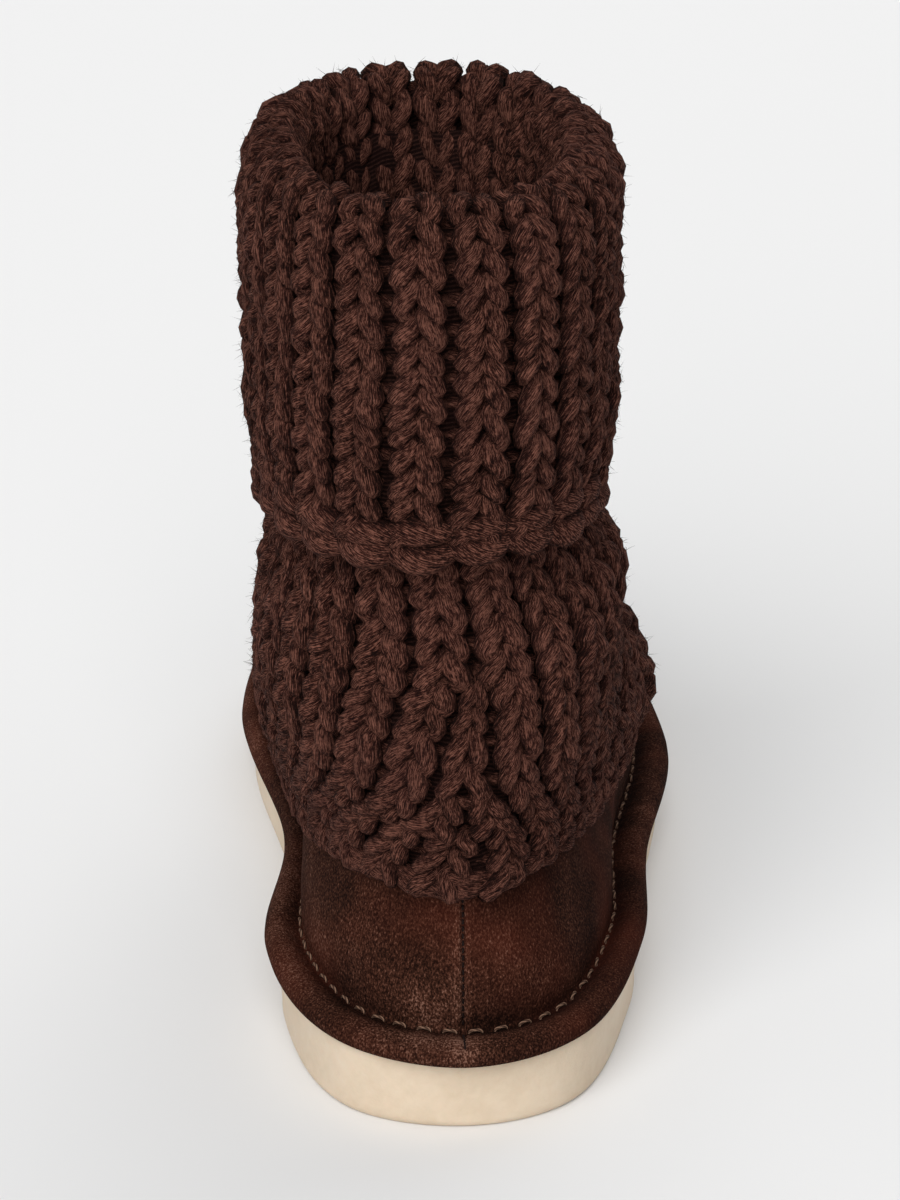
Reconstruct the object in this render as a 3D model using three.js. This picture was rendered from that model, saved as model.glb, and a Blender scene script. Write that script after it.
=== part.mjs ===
// A winter boot for the right foot: a suede lower whose edge is turned out over a crepe sole
// and stitched down, and a hand-thick rib-knit shaft with a turned-down cuff. Millimetres, +Z up.
// The toe points to -Y, the outer side of the foot is at -X, and the floor is z = 0.
import * as THREE from 'three';

// Sizes of the pieces
const GAP = 0.4; // between pieces that touch
const SOLE_DRAFT = 0.8; // how much the sole's side draws in towards the floor
const SOLE_EDGE_ROUND = 2; // the worn round of its lower edge
const SOLE_ROUND_MIDDLE = 0.3; // where that round has its middle facet, as a share of it
const FLANGE_THICK = 5.6; // suede and pile, turned out
const GROOVE_DEPTH = 1.7; // where the stitching pulls the turned-out edge down
const UPPER_WALL = 3; // suede with its pile lining
const WALL_START_IN = 0.4; // where the suede turns up from the stitching, inwards and upwards of it
const WALL_START_UP = 0.6;
const INSOLE_THICK = 5;
const INSOLE_PLAY = 1.4; // between the insole's side and the suede
const INSOLE_BEVEL = 1.2; // how far its top edge is rounded in, and down
const INSOLE_BEVEL_DEPTH = 1;
const KNIT_WALL = 4.6; // one layer of the rib knit
const RIB_COUNT = 24;
const LIP_LAP = 5; // how far the knit laps down over the suede's top edge
const LIP_PROUD = 4.2; // how far its edge stands out from the suede there
const LIP_FLARE = 1.2; // how much further it stands out above the suede's edge
const LIP_RISE = 3; // and how far above that edge it does
const LIP_RELIEF = 0.6; // how far the ribs stand out there
const FOLD_CROWN = 4.5; // the fold's top above the rings below it
const FOLD_SHOULDER = 0.45; // the fold's shoulders, as a share of the way to its crown
const FOLD_ROUND = 1.4; // how much they are lifted, which rounds the fold
const FOLD_INNER_DROP = 2; // where the two layers part, below the top of the inner one
const HEM_ROUND = 1.4; // how far the hem's middle hangs below its outer edge
const HEM_INNER_LIFT = 1; // and its inner edge stands above it

// Counts of facets
const SUEDE_COLUMNS = 64;
const WALL_ROWS = 9;
const COLUMNS_PER_RIB = 4;
const RING_POINTS = 24;
const KNIT_COLUMNS = RIB_COUNT * COLUMNS_PER_RIB;
const SHAFT_ROWS = 10;
const CUFF_ROWS = 5;

// Round the boot, from the back of the heel by the outer side to the toe and back by the inner side.
// along is measured from the heel to the toe, and across is positive to the outer side. edge is the
// turned-out edge in plan, overhang how far it stands over the sole, rim its width as far as the
// stitching, and top the suede's upper edge. rise and puff say how the suede leaves the stitching,
// upwards and outwards, and reach and drop how it comes to its upper edge, from outside and below.
const STATIONS = [
  { at: 'heel back', edge: [-2, 1], overhang: 5, rim: 10.8, top: [11.5, 1, 58.5], rise: 14, puff: 2.4, reach: 0, drop: 12 },
  { at: 'outer heel corner', edge: [13, 28.5], overhang: 2.2, rim: 8.6, top: [24, 15.5, 60], rise: 14, puff: 2, reach: 0, drop: 12 },
  { at: 'outer heel side', edge: [54, 43.4], overhang: 2, rim: 7.5, top: [54, 28, 57], rise: 13, puff: 1.8, reach: 0, drop: 12 },
  { at: 'outer waist', edge: [100, 48], overhang: 2, rim: 8, top: [99, 38.6, 52.5], rise: 12, puff: 1.6, reach: 0, drop: 10 },
  { at: 'outer ball', edge: [166, 58], overhang: 2.4, rim: 8.6, top: [137, 43, 52], rise: 11, puff: 1.4, reach: 2, drop: 9 },
  { at: 'outer toe corner', edge: [246, 43], overhang: 2.8, rim: 8, top: [166, 25, 64], rise: 24, puff: 2, reach: 30, drop: 12 },
  { at: 'toe', edge: [275, 6], overhang: 3.2, rim: 8, top: [175, 2, 72], rise: 30, puff: 3, reach: 50, drop: 18 },
  { at: 'inner toe corner', edge: [252, -30], overhang: 2.8, rim: 7, top: [166, -20, 66], rise: 26, puff: 2, reach: 30, drop: 12 },
  { at: 'inner ball', edge: [190, -46], overhang: 2.4, rim: 6.5, top: [138, -35, 54], rise: 13, puff: 1, reach: 3, drop: 9 },
  { at: 'inner waist', edge: [112, -36.3], overhang: 2, rim: 6.5, top: [98, -33.5, 51.5], rise: 11, puff: 1, reach: 0, drop: 10 },
  { at: 'inner heel side', edge: [54, -41], overhang: 3, rim: 8.2, top: [51, -27, 55.5], rise: 13, puff: 1.8, reach: 0, drop: 12 },
  { at: 'inner heel corner', edge: [13, -27.5], overhang: 2, rim: 9.6, top: [24.5, -17, 59], rise: 14, puff: 2, reach: 0, drop: 12 },
];

// The turned-out edge in section, from underneath round its outside to the stitching. Each point lies
// in from the edge by a share of the rim and by inset, and above the sole by lift.
const FLANGE_SECTION = [
  { at: 'under', share: 0.5, inset: 0, lift: GAP },
  { at: 'lower edge', share: 0, inset: 0.9, lift: GAP },
  { at: 'outermost', share: 0, inset: 0, lift: 2.4 },
  { at: 'upper edge', share: 0, inset: 0.5, lift: 4.2 },
  { at: 'crest', share: 0.28, inset: 0, lift: FLANGE_THICK },
  { at: 'inner crest', share: 0.55, inset: 0, lift: FLANGE_THICK - 0.1 },
  { at: 'stitching', share: 1, inset: 0, lift: FLANGE_THICK - GROOVE_DEPTH },
];

// The sole along the foot: its underside is flat to past the ball and lifts at the toe.
const SOLE = [
  { along: 0, under: 0, top: 17.2 },
  { along: 60, under: 0, top: 17.2 },
  { along: 120, under: 0, top: 15.6 },
  { along: 178, under: 0, top: 13.8 },
  { along: 220, under: 1.6, top: 14.6 },
  { along: 250, under: 4.6, top: 17 },
  { along: 275, under: 8, top: 19.8 },
];

// The knit's outer face in rings from the suede up, and its turned-down cuff in rings from the hem
// up. back and front are [along, height] where the ring crosses the middle of the boot, halfWidth is
// to each side, lean moves it across, and relief is how far the ribs stand above that face.
const SHAFT_RINGS = [
  { at: 'over the heel', back: [4.5, 80], front: [141, 98], halfWidth: 38, lean: -2.4, relief: 1.3 },
  { at: 'ankle', back: [8, 104], front: [122, 114], halfWidth: 37.2, lean: -1.2, relief: 1.3 },
  { at: 'under the hem', back: [13, 126], front: [111, 126], halfWidth: 29.8, lean: -4, relief: 0.9 },
  { at: 'inside the cuff', back: [13.5, 165], front: [111, 163], halfWidth: 30.5, lean: -3.8, relief: 0.4 },
  { at: 'below the fold', back: [12, 198], front: [112, 197], halfWidth: 32, lean: -3.8, relief: 0.4 },
];
const CUFF_RINGS = [
  { at: 'hem', back: [7, 131], front: [118, 119], halfWidth: 34.6, lean: -4, relief: 1 },
  { at: 'belly', back: [4, 149], front: [121, 140], halfWidth: 37.6, lean: -3.8, relief: 1.3 },
  { at: 'shoulder', back: [3.8, 184], front: [121, 181], halfWidth: 38.6, lean: -3.8, relief: 1.3 },
  { at: 'below the fold', back: [5.6, 200], front: [119, 199], halfWidth: 37.6, lean: -3.8, relief: 1.3 },
];
const RING_SQUARENESS = 2.15; // 2 is an ellipse

const UP = new THREE.Vector3(0, 0, 1);

// A closed curve through one point for each station.
function loopThrough(points) {
  return new THREE.CatmullRomCurve3(points, true, 'catmullrom', 0.5);
}

const edgeLoop = loopThrough(STATIONS.map(({ edge }) => new THREE.Vector3(edge[1], edge[0], 0)));
const topLoop = loopThrough(STATIONS.map(({ top }) => new THREE.Vector3(top[1], top[0], top[2])));
topLoop.arcLengthDivisions = 600;

// The smooth value of a column of the station table, with turn from 0 to 1 round the boot.
function stationValue(name, turn) {
  const count = STATIONS.length;
  const place = turn * count;
  const first = Math.floor(place);
  const value = (step) => STATIONS[(first + step + count) % count][name];
  const [before, here, next, after] = [value(-1), value(0), value(1), value(2)];
  const share = place - first;
  const bend = share * share * (3 - 2 * share);
  const slope = ((next - before) * (1 - share) - (after - here) * share) / 2;
  return here + (next - here) * bend + slope * share * (1 - share);
}

// The slope of the sole at a row of its table; a level stretch stays level up to its ends.
function soleSlope(name, row) {
  const before = SOLE[Math.max(row - 1, 0)];
  const here = SOLE[row];
  const after = SOLE[Math.min(row + 1, SOLE.length - 1)];
  const level = here[name] === before[name] || here[name] === after[name];
  return level ? 0 : (after[name] - before[name]) / (after.along - before.along);
}

// A height of the sole at a distance along the foot.
function soleHeight(name, along) {
  const past = SOLE.findIndex((row) => row.along > along);
  const next = past > 0 ? past : SOLE.length - 1;
  const [from, to] = past === 0 ? [SOLE[0], SOLE[1]] : [SOLE[next - 1], SOLE[next]];
  const span = to.along - from.along;
  const share = THREE.MathUtils.clamp((along - from.along) / span, 0, 1);
  const rest = 1 - share;
  const slopes = soleSlope(name, SOLE.indexOf(from)) * rest - soleSlope(name, SOLE.indexOf(to)) * share;
  const level = from[name] * rest * rest * (1 + 2 * share) + to[name] * share * share * (3 - 2 * share);
  return level + slopes * span * share * rest;
}

// The turned-out edge moved in by a distance, in plan.
function insetEdge(turn, inset) {
  const tangent = edgeLoop.getTangent(turn);
  const inward = new THREE.Vector3(-tangent.y, tangent.x, 0).normalize();
  return edgeLoop.getPoint(turn).addScaledVector(inward, inset);
}

// The suede's outer face from the stitching, at share 0, to its upper edge, at share 1.
function wallCurve(turn) {
  const foot = insetEdge(turn, stationValue('rim', turn) + WALL_START_IN);
  foot.z = soleHeight('top', foot.y) + FLANGE_THICK - GROOVE_DEPTH + WALL_START_UP;
  const top = topLoop.getPoint(turn);
  const outward = insetEdge(turn, -1).sub(insetEdge(turn, 0));
  const towardsFoot = foot.clone().sub(top).setZ(0).normalize();
  const lower = foot.clone().addScaledVector(outward, stationValue('puff', turn));
  lower.z += stationValue('rise', turn);
  const upper = top.clone().addScaledVector(towardsFoot, stationValue('reach', turn));
  upper.z -= stationValue('drop', turn);
  return new THREE.CubicBezierCurve3(foot, lower, upper, top);
}

// The direction out of a grid of points at one of them; the grid closes on itself across its columns.
function gridNormal(grid, column, row) {
  const count = grid.length;
  const rows = grid[column].length;
  const round = grid[(column + 1) % count][row].clone().sub(grid[(column + count - 1) % count][row]);
  const up = grid[column][Math.min(row + 1, rows - 1)].clone().sub(grid[column][Math.max(row - 1, 0)]);
  return round.cross(up).normalize();
}

function offsetGrid(grid, distance) {
  return grid.map((column, c) => column.map((point, r) => point.clone().addScaledVector(gridNormal(grid, c, r), distance)));
}

// A closed tube of closed profiles, one for each column round the boot.
function shellGeometry(profiles) {
  const columns = profiles.length;
  const size = profiles[0].length;
  const index = [];
  for (let c = 0; c < columns; c += 1) {
    for (let k = 0; k < size; k += 1) {
      const [here, round] = [c * size + k, ((c + 1) % columns) * size + k];
      const [hereNext, roundNext] = [c * size + ((k + 1) % size), ((c + 1) % columns) * size + ((k + 1) % size)];
      index.push(here, round, hereNext, round, roundNext, hereNext);
    }
  }
  return geometryFrom(profiles.flat(), index);
}

// A slab of rings, the lowest first, closed below and above by strips that run across the foot.
function slabGeometry(rings) {
  const size = rings[0].length;
  const index = [];
  for (let r = 0; r < rings.length - 1; r += 1) {
    for (let k = 0; k < size; k += 1) {
      const [low, lowNext] = [r * size + k, r * size + ((k + 1) % size)];
      index.push(low, lowNext, low + size, lowNext, lowNext + size, low + size);
    }
  }
  const highest = (rings.length - 1) * size;
  for (let k = 0; k < size / 2; k += 1) {
    const [near, far] = [(size - k) % size, size - k - 1];
    for (const [a, b, c] of [[k, far, k + 1], [k, near, far]]) {
      if (new Set([a, b, c]).size < 3) continue;
      index.push(a, b, c, highest + a, highest + c, highest + b);
    }
  }
  return geometryFrom(rings.flat(), index);
}

// Points in the boot's own across, along and height become the part's frame.
const edgeSamples = edgeLoop.getPoints(SUEDE_COLUMNS * 8);
const box = new THREE.Box3().setFromPoints(edgeSamples);
const middle = box.getCenter(new THREE.Vector3());

function geometryFrom(points, index) {
  const geometry = new THREE.BufferGeometry();
  geometry.setFromPoints(points.map((p) => new THREE.Vector3(middle.x - p.x, middle.y - p.y, p.z)));
  geometry.setIndex(index);
  geometry.computeVertexNormals();
  return geometry;
}

const suedeTurns = Array.from({ length: SUEDE_COLUMNS }, (_, c) => c / SUEDE_COLUMNS);

function soleRing(inset, name, lift) {
  return suedeTurns.map((turn) => {
    const point = insetEdge(turn, stationValue('overhang', turn) + inset);
    point.z = soleHeight(name, point.y) + lift;
    return point;
  });
}

function outsole() {
  return slabGeometry([
    soleRing(SOLE_DRAFT + SOLE_EDGE_ROUND, 'under', 0),
    soleRing(SOLE_DRAFT + SOLE_EDGE_ROUND * SOLE_ROUND_MIDDLE, 'under', SOLE_EDGE_ROUND * SOLE_ROUND_MIDDLE),
    soleRing(SOLE_DRAFT, 'under', SOLE_EDGE_ROUND),
    soleRing(0, 'top', 0),
  ]);
}

function insole() {
  const ring = (inset, lift) => suedeTurns.map((turn) => {
    const point = insetEdge(turn, stationValue('rim', turn) + UPPER_WALL + inset);
    point.z = soleHeight('top', point.y) + lift;
    return point;
  });
  return slabGeometry([
    ring(INSOLE_PLAY, GAP),
    ring(INSOLE_PLAY, INSOLE_THICK - INSOLE_BEVEL_DEPTH),
    ring(INSOLE_PLAY + INSOLE_BEVEL, INSOLE_THICK),
  ]);
}

function upper() {
  const walls = suedeTurns.map((turn) => wallCurve(turn).getPoints(WALL_ROWS));
  const linings = offsetGrid(walls, -UPPER_WALL);
  const profiles = suedeTurns.map((turn, c) => {
    const rim = stationValue('rim', turn);
    const flange = FLANGE_SECTION.map(({ share, inset, lift }) => {
      const point = insetEdge(turn, rim * share + inset);
      point.z = soleHeight('top', point.y) + lift;
      return point;
    });
    const inside = insetEdge(turn, rim + UPPER_WALL + WALL_START_IN);
    inside.z = soleHeight('top', inside.y) + GAP;
    const lining = linings[c].slice(1).reverse();
    return [...flange, ...walls[c], ...lining, inside];
  });
  return shellGeometry(profiles);
}

// A ring of the knit as a closed curve, measured by its length from the back of the heel.
function knitRing({ back, front, halfWidth, lean }) {
  const points = Array.from({ length: RING_POINTS }, (_, k) => {
    const angle = (k / RING_POINTS) * Math.PI * 2;
    const soften = (value) => Math.sign(value) * Math.abs(value) ** (2 / RING_SQUARENESS);
    const forward = (1 - soften(Math.cos(angle))) / 2;
    return new THREE.Vector3(
      lean + halfWidth * soften(Math.sin(angle)),
      back[0] + (front[0] - back[0]) * forward,
      back[1] + (front[1] - back[1]) * forward,
    );
  });
  return loopThrough(points);
}

const shaftRings = SHAFT_RINGS.map((ring) => ({ curve: knitRing(ring), relief: ring.relief }));
const cuffRings = CUFF_RINGS.map((ring) => ({ curve: knitRing(ring), relief: ring.relief }));

// A point of a ring at a share of its length, moved out by its ribs where wave is 1.
function ringPoint({ curve, relief }, share, wave) {
  const out = curve.getTangentAt(share).cross(UP).normalize();
  return curve.getPointAt(share).addScaledVector(out, relief * wave);
}

// Where the knit laps over the suede's upper edge, at a share of that edge's length.
function lap(share) {
  const turn = topLoop.getUtoTmapping(share);
  const wall = wallCurve(turn);
  const edge = wall.getPoint(1);
  const climb = wall.getTangent(1);
  const out = topLoop.getTangent(turn).cross(climb).normalize();
  const foot = wall.getPoint(1 - LIP_LAP / wall.getLength());
  return { edge, climb, out, foot };
}

// The knit's outer face at a share of the way round, from its lapped edge up to the fold.
function shaftFace(share, wave) {
  const { edge, climb, out, foot } = lap(share);
  const ribs = LIP_RELIEF * wave;
  return new THREE.CatmullRomCurve3([
    foot.addScaledVector(out, LIP_PROUD + ribs),
    edge.addScaledVector(out, LIP_PROUD + LIP_FLARE + ribs).addScaledVector(climb, LIP_RISE),
    ...shaftRings.map((ring) => ringPoint(ring, share, wave)),
  ]).getPoints(SHAFT_ROWS);
}

function cuffFace(share, wave) {
  return new THREE.CatmullRomCurve3(cuffRings.map((ring) => ringPoint(ring, share, wave))).getPoints(CUFF_ROWS);
}

function shaft() {
  const columns = Array.from({ length: KNIT_COLUMNS }, (_, c) => ({
    share: c / KNIT_COLUMNS,
    wave: Math.cos((c / COLUMNS_PER_RIB) * Math.PI * 2 + Math.PI),
  }));
  const faces = columns.map(({ share, wave }) => shaftFace(share, wave));
  const cuffs = columns.map(({ share, wave }) => cuffFace(share, wave));
  const smoothFaces = columns.map(({ share }) => shaftFace(share, 0));
  const smoothCuffs = columns.map(({ share }) => cuffFace(share, 0));
  const linings = offsetGrid(smoothFaces, -KNIT_WALL);
  const cuffLinings = offsetGrid(smoothCuffs, -KNIT_WALL);
  const profiles = columns.map(({ share }, c) => {
    const { edge, climb, out, foot } = lap(share);
    const face = faces[c];
    const cuff = cuffs[c];
    const lining = linings[c];
    const cuffLining = cuffLinings[c];
    const [cuffTop, liningTop] = [cuff[CUFF_ROWS], lining[SHAFT_ROWS]];
    const crown = cuffTop.clone().lerp(liningTop, 0.5).addScaledVector(UP, FOLD_CROWN);
    const shoulders = [cuffTop, liningTop].map((p) => p.clone().lerp(crown, FOLD_SHOULDER).addScaledVector(UP, FOLD_ROUND));
    const rim = edge.addScaledVector(climb, GAP);
    return [
      foot.addScaledVector(out, GAP),
      ...face.slice(0, SHAFT_ROWS),
      face[SHAFT_ROWS].addScaledVector(UP, -FOLD_INNER_DROP),
      ...cuffLining.slice(1, CUFF_ROWS).reverse(),
      cuffLining[0].clone().addScaledVector(UP, HEM_INNER_LIFT),
      cuff[0].clone().lerp(cuffLining[0], 0.5).addScaledVector(UP, -HEM_ROUND),
      ...cuff,
      shoulders[0],
      crown,
      shoulders[1],
      ...lining.slice(3).reverse(),
      rim.clone().addScaledVector(out, GAP - UPPER_WALL),
      rim.clone().addScaledVector(out, GAP),
    ];
  });
  return shellGeometry(profiles);
}

function mesh(name, geometry, color, roughness) {
  const made = new THREE.Mesh(geometry, new THREE.MeshStandardMaterial({ color, roughness, metalness: 0 }));
  made.name = name;
  return made;
}

const boot = new THREE.Group();
boot.add(
  mesh('outsole', outsole(), 0xdccdb4, 0.75),
  mesh('insole', insole(), 0xb9a58c, 0.95),
  mesh('upper', upper(), 0x2e1812, 0.95),
  mesh('knit_shaft', shaft(), 0x3f251f, 0.98),
);
export default boot;
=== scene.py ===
# %% [markdown]
# # A knit and suede winter boot
# This notebook dresses a right boot whose solids are already built: a crepe sole, an insole, a suede
# lower whose edge is turned out and stitched down, and a rib-knit shaft with a turned-down cuff. The
# solids give the sizes; here each surface gets its real finish, from the yarn of every stitch to the
# thread round the edge. The frame is in metres, +Z up, with the toe towards -Y.

# %% Load the solids
import math
import bmesh
import bpy
import numpy as np
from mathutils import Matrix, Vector


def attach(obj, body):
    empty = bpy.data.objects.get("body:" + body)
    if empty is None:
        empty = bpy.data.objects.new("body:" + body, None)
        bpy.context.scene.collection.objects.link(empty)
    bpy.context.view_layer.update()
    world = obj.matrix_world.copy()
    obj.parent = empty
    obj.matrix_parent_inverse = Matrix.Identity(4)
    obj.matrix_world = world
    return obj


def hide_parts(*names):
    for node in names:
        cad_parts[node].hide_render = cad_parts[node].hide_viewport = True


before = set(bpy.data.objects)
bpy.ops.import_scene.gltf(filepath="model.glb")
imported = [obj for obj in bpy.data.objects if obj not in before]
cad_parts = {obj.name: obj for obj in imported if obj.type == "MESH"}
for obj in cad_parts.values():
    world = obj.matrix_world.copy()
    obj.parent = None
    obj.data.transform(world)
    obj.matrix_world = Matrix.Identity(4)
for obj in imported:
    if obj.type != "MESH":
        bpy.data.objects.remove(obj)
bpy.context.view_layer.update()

# %% [markdown]
# The camera comes first, because it settles what has to look right. The photograph looks at the heel
# from behind, about 25 degrees above the floor and a little to the inner side. Its camera stood about
# 1 m away with a long lens, so the sides hardly taper. The same standpoint is kept here, turned a
# little so that the whole boot is in the frame. Points are given in the boot's own sizes, across,
# along and up in mm, because a shoemaker measures so, and two helpers turn them into the frame's.

# %% The camera
MM = 0.001
MIDDLE = np.array([6.0, 136.5, 0.0])  # where the frame's origin lies, in the boot's own sizes
FLIP = np.array([-1.0, -1.0, 1.0])
STANDPOINT = (-39.4, -868.9, 494.4)
AIM = (1.6, 88.0, 88.0)
LENS_MM = 139.0
FAR_ENOUGH = 100.0  # metres, past the floor's far edge


def to_frame(points):
    """Points in the boot's own across, along and height, in mm, become points of the frame."""
    return (np.asarray(points, float) - MIDDLE) * FLIP * MM


def to_own(points):
    """The way back: points of the frame, in metres, become the boot's own, in mm."""
    return np.asarray(points, float) * FLIP / MM + MIDDLE


eye = Vector(to_frame(STANDPOINT))
aim = Vector(to_frame(AIM))
bpy.ops.object.select_all(action="DESELECT")
bpy.ops.object.camera_add(location=eye, rotation=(aim - eye).to_track_quat("-Z", "Y").to_euler())
camera = bpy.context.object
camera.data.lens = LENS_MM
camera.data.sensor_width = 36.0
camera.data.sensor_fit = "AUTO"
camera.data.clip_end = FAR_ENOUGH
bpy.context.scene.camera = camera
bpy.context.scene.view_settings.view_transform = "Standard"
print("camera at", [round(value, 3) for value in eye], "aimed at", [round(value, 3) for value in aim])

# %% [markdown]
# The boot's own sizes are kept as short tables, the ones that its solids were lofted from: a row for
# each station round the boot, and a row for each ring of the knit. A smooth closed curve runs through
# each column, so any point of any surface can be asked for by its place round the boot and its place
# up the wall. Everything that follows the surface, such as a stitch or a seam, is laid with these.

# %% The boot's sizes
FLANGE_THICK = 5.6
GROOVE_DEPTH = 1.7
UPPER_WALL = 3.0
WALL_START_IN = 0.4
WALL_START_UP = 0.6
LIP_LAP = 5.0
LIP_PROUD = 4.2
LIP_FLARE = 1.2
LIP_RISE = 3.0
CROWN_IN = 6.5
CROWN_UP = 5.5
INNER_RUN = 18.0
KNIT_WALL = 4.6
RIB_COUNT = 24
RING_SQUARENESS = 2.15
RING_POINTS = 24
GAP = 0.4
SOLE_DRAFT = 0.8
SOLE_EDGE_ROUND = 2.0
LEVEL = np.array([1.0, 1.0, 0.0])  # times a direction, it drops the part that goes up
UPRIGHT = np.array([0.0, 0.0, 1.0])

# %% The tables
# at, edge (along, across), overhang, rim, top (along, across, height), rise, puff, reach, drop
STATION_COLUMNS = ("at", "edge", "overhang", "rim", "top", "rise", "puff", "reach", "drop")
STATIONS = [
    ("heel back", (-2, 1), 5, 10.8, (11.5, 1, 58.5), 14, 2.4, 0, 12),
    ("outer heel corner", (13, 28.5), 2.2, 8.6, (24, 15.5, 60), 14, 2, 0, 12),
    ("outer heel side", (54, 43.4), 2, 7.5, (54, 28, 57), 13, 1.8, 0, 12),
    ("outer waist", (100, 48), 2, 8, (99, 38.6, 52.5), 12, 1.6, 0, 10),
    ("outer ball", (166, 58), 2.4, 8.6, (137, 43, 52), 11, 1.4, 2, 9),
    ("outer toe corner", (246, 43), 2.8, 8, (166, 25, 64), 24, 2, 30, 12),
    ("toe", (275, 6), 3.2, 8, (175, 2, 72), 30, 3, 50, 18),
    ("inner toe corner", (252, -30), 2.8, 7, (166, -20, 66), 26, 2, 30, 12),
    ("inner ball", (190, -46), 2.4, 6.5, (138, -35, 54), 13, 1, 3, 9),
    ("inner waist", (112, -36.3), 2, 6.5, (98, -33.5, 51.5), 11, 1, 0, 10),
    ("inner heel side", (54, -41), 3, 8.2, (51, -27, 55.5), 13, 1.8, 0, 12),
    ("inner heel corner", (13, -27.5), 2, 9.6, (24.5, -17, 59), 14, 2, 0, 12),
]
# along, height of the underside, height of the top
SOLE_COLUMNS = ("along", "under", "top")
SOLE = [
    (0, 0, 17.2),
    (60, 0, 17.2),
    (120, 0, 15.6),
    (178, 0, 13.8),
    (220, 1.6, 14.6),
    (250, 4.6, 17),
    (275, 8, 19.8),
]
# at, back (along, height), front (along, height), half width, lean
SHAFT_RINGS = [
    ("over the heel", (4.5, 80), (141, 98), 38, -2.4),
    ("ankle", (8, 104), (122, 114), 37.2, -1.2),
    ("under the hem", (13, 126), (111, 126), 29.8, -4),
    ("inside the cuff", (13.5, 165), (111, 163), 30.5, -3.8),
    ("below the fold", (12, 198), (112, 197), 32, -3.8),
]
CUFF_RINGS = [
    ("hem", (7, 131), (118, 119), 34.6, -4),
    ("belly", (4, 149), (121, 140), 37.6, -3.8),
    ("shoulder", (3.8, 184), (121, 181), 38.6, -3.8),
    ("below the fold", (5.6, 200), (119, 199), 37.6, -3.8),
]

# %% Curves through the tables


def spline(points, closed):
    """A smooth curve through points: a function of a place from 0 to 1, for an array of places."""
    points = np.asarray(points, float)
    count = len(points)
    if closed:
        padded = np.concatenate([points[-1:], points, points[:2]])
        spans = count
    else:
        first = 2 * points[:1] - points[1:2]
        last = 2 * points[-1:] - points[-2:-1]
        padded = np.concatenate([first, points, last])
        spans = count - 1

    def at(places):
        places = np.asarray(places, float)
        places = np.mod(places, 1.0) if closed else np.clip(places, 0.0, 1.0)
        step = np.minimum((places * spans).astype(int), spans - 1)
        share = (places * spans - step).reshape(places.shape + (1,) * (points.ndim - 1))
        before, here, after, beyond = (padded[step + k] for k in range(4))
        slope_here = (after - before) / 2
        slope_after = (beyond - here) / 2
        cubic = 2 * here - 2 * after + slope_here + slope_after
        square = -3 * here + 3 * after - 2 * slope_here - slope_after
        return ((cubic * share + square) * share + slope_here) * share + here

    return at


def distances(points):
    """How far each point of a path lies along it."""
    return np.concatenate([[0], np.cumsum(np.linalg.norm(np.diff(points, axis=0), axis=1))])


def by_length(curve, divisions=600):
    """The same closed curve, with places measured along its length."""
    places = np.linspace(0, 1, divisions + 1)
    lengths = distances(curve(places))
    shares = lengths / lengths[-1]
    return lambda share: curve(np.interp(np.mod(share, 1.0), shares, places))


def unit(vectors):
    """The same directions at length 1."""
    return vectors / np.maximum(np.linalg.norm(vectors, axis=-1, keepdims=True), 1e-9)


def tangent(curve, places, step=1e-3):
    """The direction in which a curve runs at places on it."""
    return unit(curve(places + step) - curve(places - step))


# %% The edge, the sole and the tables' columns


def column(name):
    """One column of the stations' table."""
    return [row[STATION_COLUMNS.index(name)] for row in STATIONS]


edge_loop = spline([(across, along, 0) for along, across in column("edge")], True)
top_loop = spline([(across, along, height) for along, across, height in column("top")], True)


def station(name, turns):
    """The smooth value of a column of the stations at places round the boot."""
    return spline(np.array(column(name), float)[:, None], True)(turns)[..., 0]


def sole_height(name, along):
    """The height of the sole's underside or top at distances along the foot, level where flat."""
    rows = np.array(SOLE, float)
    where, value = rows[:, 0], rows[:, SOLE_COLUMNS.index(name)]
    slope = np.gradient(value, where)
    slope[1:-1] = (value[2:] - value[:-2]) / (where[2:] - where[:-2])
    level = np.zeros(len(value), bool)
    level[:-1] |= value[:-1] == value[1:]
    level[1:] |= value[:-1] == value[1:]
    slope[level] = 0
    span = np.clip(np.searchsorted(where, along, side="right") - 1, 0, len(where) - 2)
    width = where[span + 1] - where[span]
    share = np.clip((along - where[span]) / width, 0, 1)
    rest = 1 - share
    bend = (slope[span] * rest - slope[span + 1] * share) * width * share * rest
    near = value[span] * rest**2 * (1 + 2 * share)
    far = value[span + 1] * share**2 * (3 - 2 * share)
    return near + far + bend


def edge_inward(turns):
    """The level direction from the turned-out edge towards the foot."""
    along_edge = tangent(edge_loop, turns)
    return np.stack([-along_edge[..., 1], along_edge[..., 0], np.zeros_like(turns)], -1)


def inset_edge(turns, inset):
    """The turned-out edge moved in by a distance, in plan."""
    return edge_loop(turns) + edge_inward(turns) * np.asarray(inset)[..., None]


def over_sole(turns, inset, lift):
    """Points at a distance in from the edge and a height above the sole's top."""
    points = inset_edge(turns, inset)
    points[..., 2] = sole_height("top", points[..., 1]) + lift
    return points


edge_length = distances(edge_loop(np.linspace(0, 1, 600)))[-1]
print("edge round the boot:", round(float(edge_length)), "mm")

# %% The suede's and the knit's faces


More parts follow.
